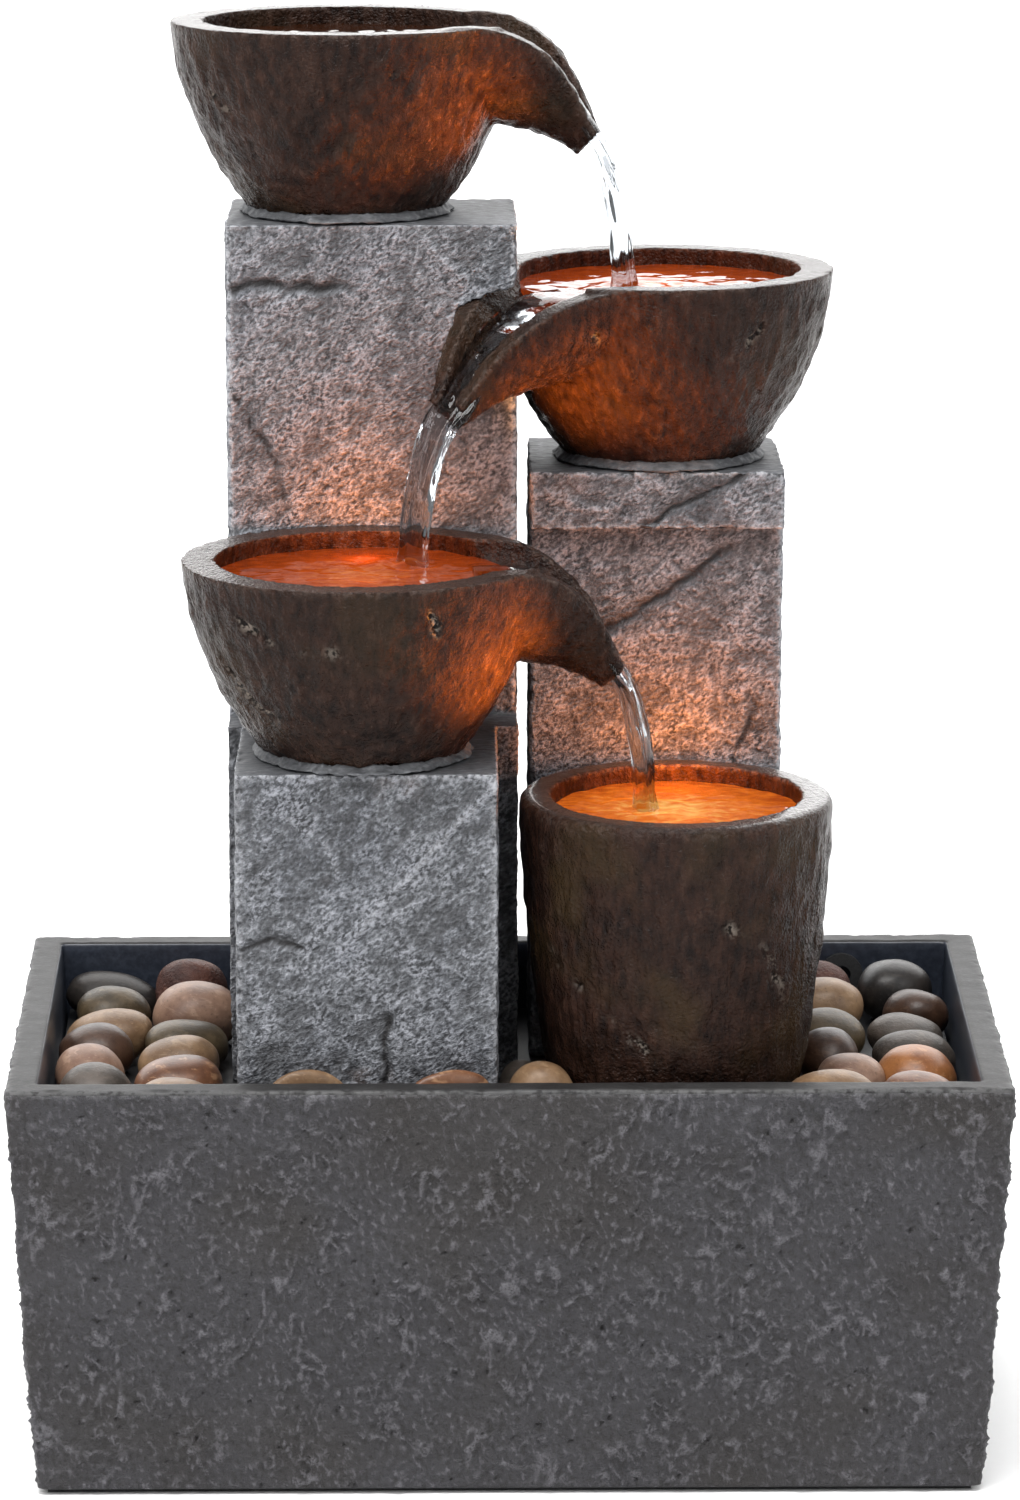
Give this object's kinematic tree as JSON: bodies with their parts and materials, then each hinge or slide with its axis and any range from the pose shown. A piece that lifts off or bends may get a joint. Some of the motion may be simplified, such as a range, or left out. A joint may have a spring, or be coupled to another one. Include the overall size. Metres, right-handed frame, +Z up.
{
  "type": "tabletop water fountain",
  "caption": "Tabletop water fountain: pouring bowls on slate pillars step water down into a lit pot, over pebbles in a deep slate basin with a hidden pump.",
  "frame": {"origin": "middle of the basin's underside, on the table", "axes": "+Z up, +Y towards the back, -Y the front, +X to the right seen from the front"},
  "size_m": [0.2798, 0.176, 0.3928],
  "materials": {
    "dark_slate": "cast slate relief, dry-brushed, satin",
    "grey_slate": "cast slate relief, fine grain, satin",
    "bronze_resin": "hammered brown cast resin, semi-gloss, wet",
    "river_stone": "polished river pebble, mixed browns and greys",
    "black_plastic": "moulded, matt",
    "white_plastic": "moulded, matt",
    "clear_hose": "flexible translucent hose",
    "amber_lens": "frosted amber diffuser, lit",
    "green_board": "circuit board",
    "black_rubber": "soft rubber",
    "lead_cover": "insulated lead, satin",
    "steel": "plated screws",
    "core_steel": "laminated core",
    "copper": "enamelled winding",
    "magnet": "bonded ferrite",
    "shaft_ceramic": "ground ceramic"
  },
  "bodies": {
    "base": {"basin": "dark_slate", "back_panel": "dark_slate", "base_sheet": "black_rubber", "cord_gland": "black_rubber"},
    "tower": {"deck": "black_plastic", "tall_pillar": "grey_slate", "front_pillar": "grey_slate", "right_pillar": "grey_slate", "pillar_cap": "grey_slate", "pillar_screws": "steel", "top_bowl": "bronze_resin", "middle_bowl": "bronze_resin", "lower_bowl": "bronze_resin", "pot": "bronze_resin", "top_bowl_bed": "grey_slate", "middle_bowl_bed": "grey_slate", "lower_bowl_bed": "grey_slate", "feed_hose": "clear_hose", "feed_nipple": "white_plastic", "feed_nut": "white_plastic", "splitter_case": "black_plastic", "splitter_terminals": "white_plastic", "pump_body": "black_plastic", "stator_core": "core_steel", "coil": "copper", "motor_cover": "black_plastic", "chamber_cover": "black_plastic", "chamber_seal": "black_rubber", "front_bush": "black_rubber", "rear_bush": "black_rubber", "shaft": "shaft_ceramic", "suction_cups": "black_rubber", "pebbles_left": "river_stone", "pebbles_right": "river_stone", "pebbles_front": "river_stone", "middle_light_housing": "white_plastic", "middle_light_board": "green_board", "middle_light_lens": "amber_lens", "middle_light_seal": "black_rubber", "middle_light_lead": "lead_cover", "lower_light_housing": "white_plastic", "lower_light_board": "green_board", "lower_light_lens": "amber_lens", "lower_light_seal": "black_rubber", "lower_light_lead": "lead_cover", "pot_light_housing": "white_plastic", "pot_light_board": "green_board", "pot_light_lens": "amber_lens", "pot_light_seal": "black_rubber", "pot_light_lead": "lead_cover"},
    "impeller": {"impeller": "white_plastic", "rotor_magnet": "magnet"},
    "strainer": {"strainer_cover": "black_plastic"},
    "dial": {"flow_dial": "white_plastic"}
  },
  "joints": [
    {"name": "tower_lift", "type": "slide", "parent": "base", "child": "tower", "axis": [0, 0, 1], "range_m": [0, 0.125]},
    {"name": "impeller_spin", "type": "hinge", "parent": "tower", "child": "impeller", "pos_m": [-0.0447, 0.0403, 0.0363], "axis": [0, 1, 0], "continuous": true},
    {"name": "strainer_slide", "type": "slide", "parent": "tower", "child": "strainer", "axis": [0, -1, 0], "range_m": [0, 0.045]},
    {"name": "flow_dial_turn", "type": "hinge", "parent": "strainer", "child": "dial", "pos_m": [-0.0447, 0.0066, 0.0363], "axis": [0, -1, 0], "range_deg": [0, 45]}
  ]
}
